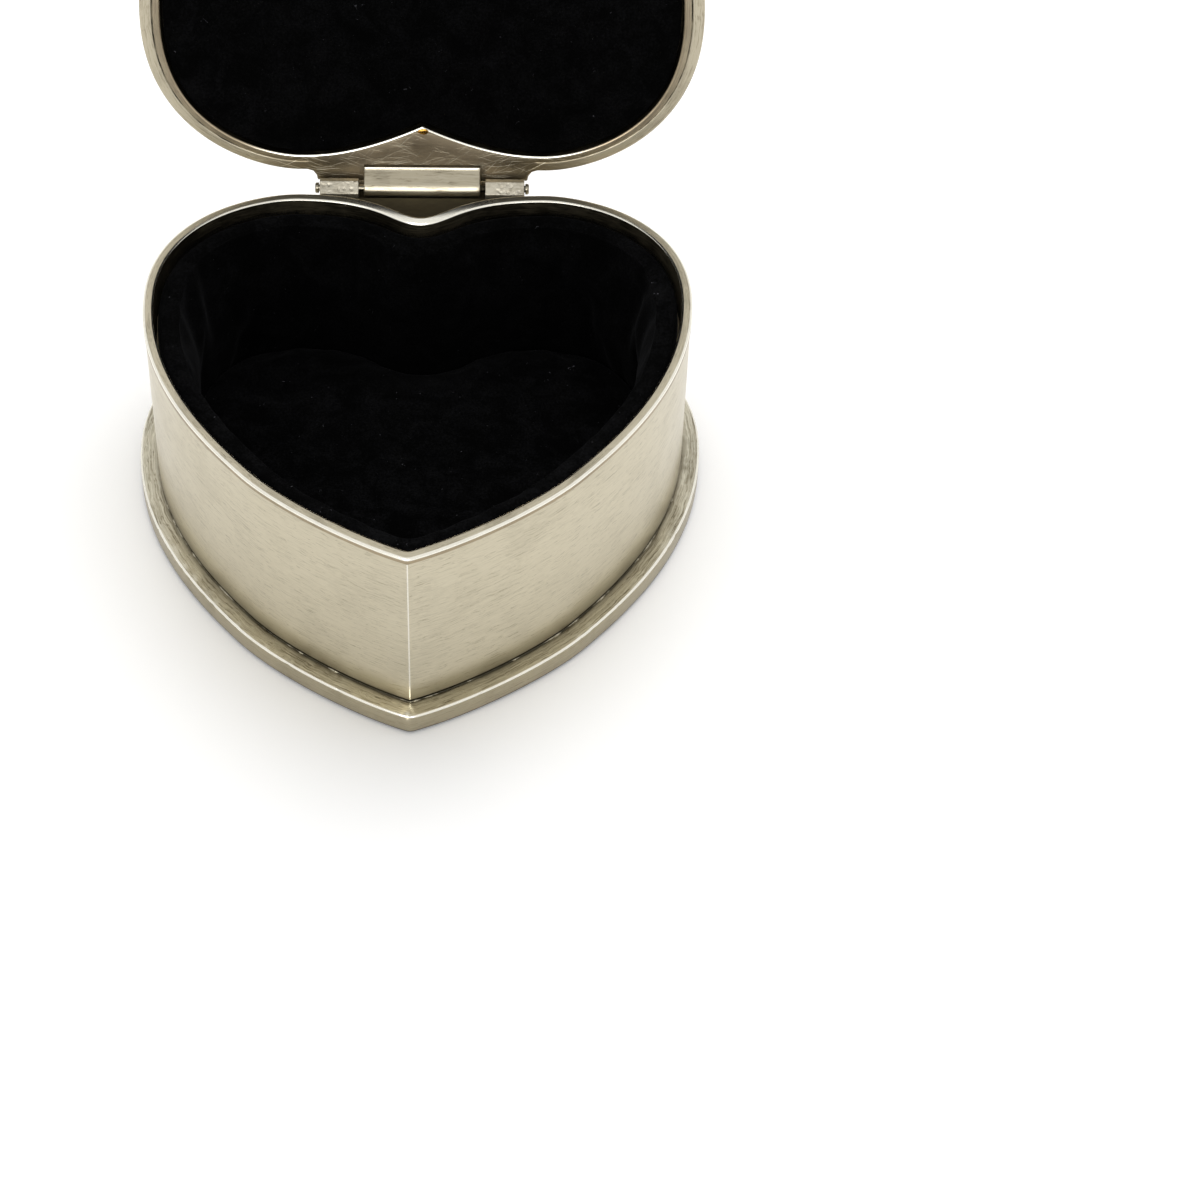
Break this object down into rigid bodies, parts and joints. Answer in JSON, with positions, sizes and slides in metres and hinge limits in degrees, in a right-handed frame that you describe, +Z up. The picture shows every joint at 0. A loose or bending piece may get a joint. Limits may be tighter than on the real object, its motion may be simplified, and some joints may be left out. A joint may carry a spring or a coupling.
{
  "type": "rosary box",
  "caption": "Heart-shaped brushed metal keepsake box with a flanged base, a domed lid on a pinned hinge and a padded velvet lining.",
  "frame": {"origin": "on the ground under the middle of the heart, on the flat underside of the base felt", "axes": "+Z up, the heart's tip points to -Y, the hinge is at +Y, +X along the hinge pin"},
  "size_m": [0.0808, 0.1004, 0.1049],
  "materials": {
    "pewter": "satin, brushed round the walls",
    "pin_metal": "bright drawn wire",
    "velvet": "black cut pile",
    "felt": "pressed black felt",
    "card": "uncoated greyboard"
  },
  "bodies": {
    "box": {"wall_shell": "pewter", "base_plate": "pewter", "base_felt": "felt", "side_card": "card", "side_lining": "velvet", "floor_card": "card", "floor_pad": "velvet", "hinge_bracket": "pewter", "hinge_pin": "pin_metal"},
    "lid": {"lid_shell": "pewter", "hinge_leaf": "pewter", "lid_card": "card", "lid_pad": "velvet"}
  },
  "joints": [
    {"name": "lid_hinge", "type": "hinge", "parent": "box", "child": "lid", "pos_m": [0, 0.03965, 0.0292], "axis": [1, 0, 0], "range_deg": [0, 101]}
  ]
}
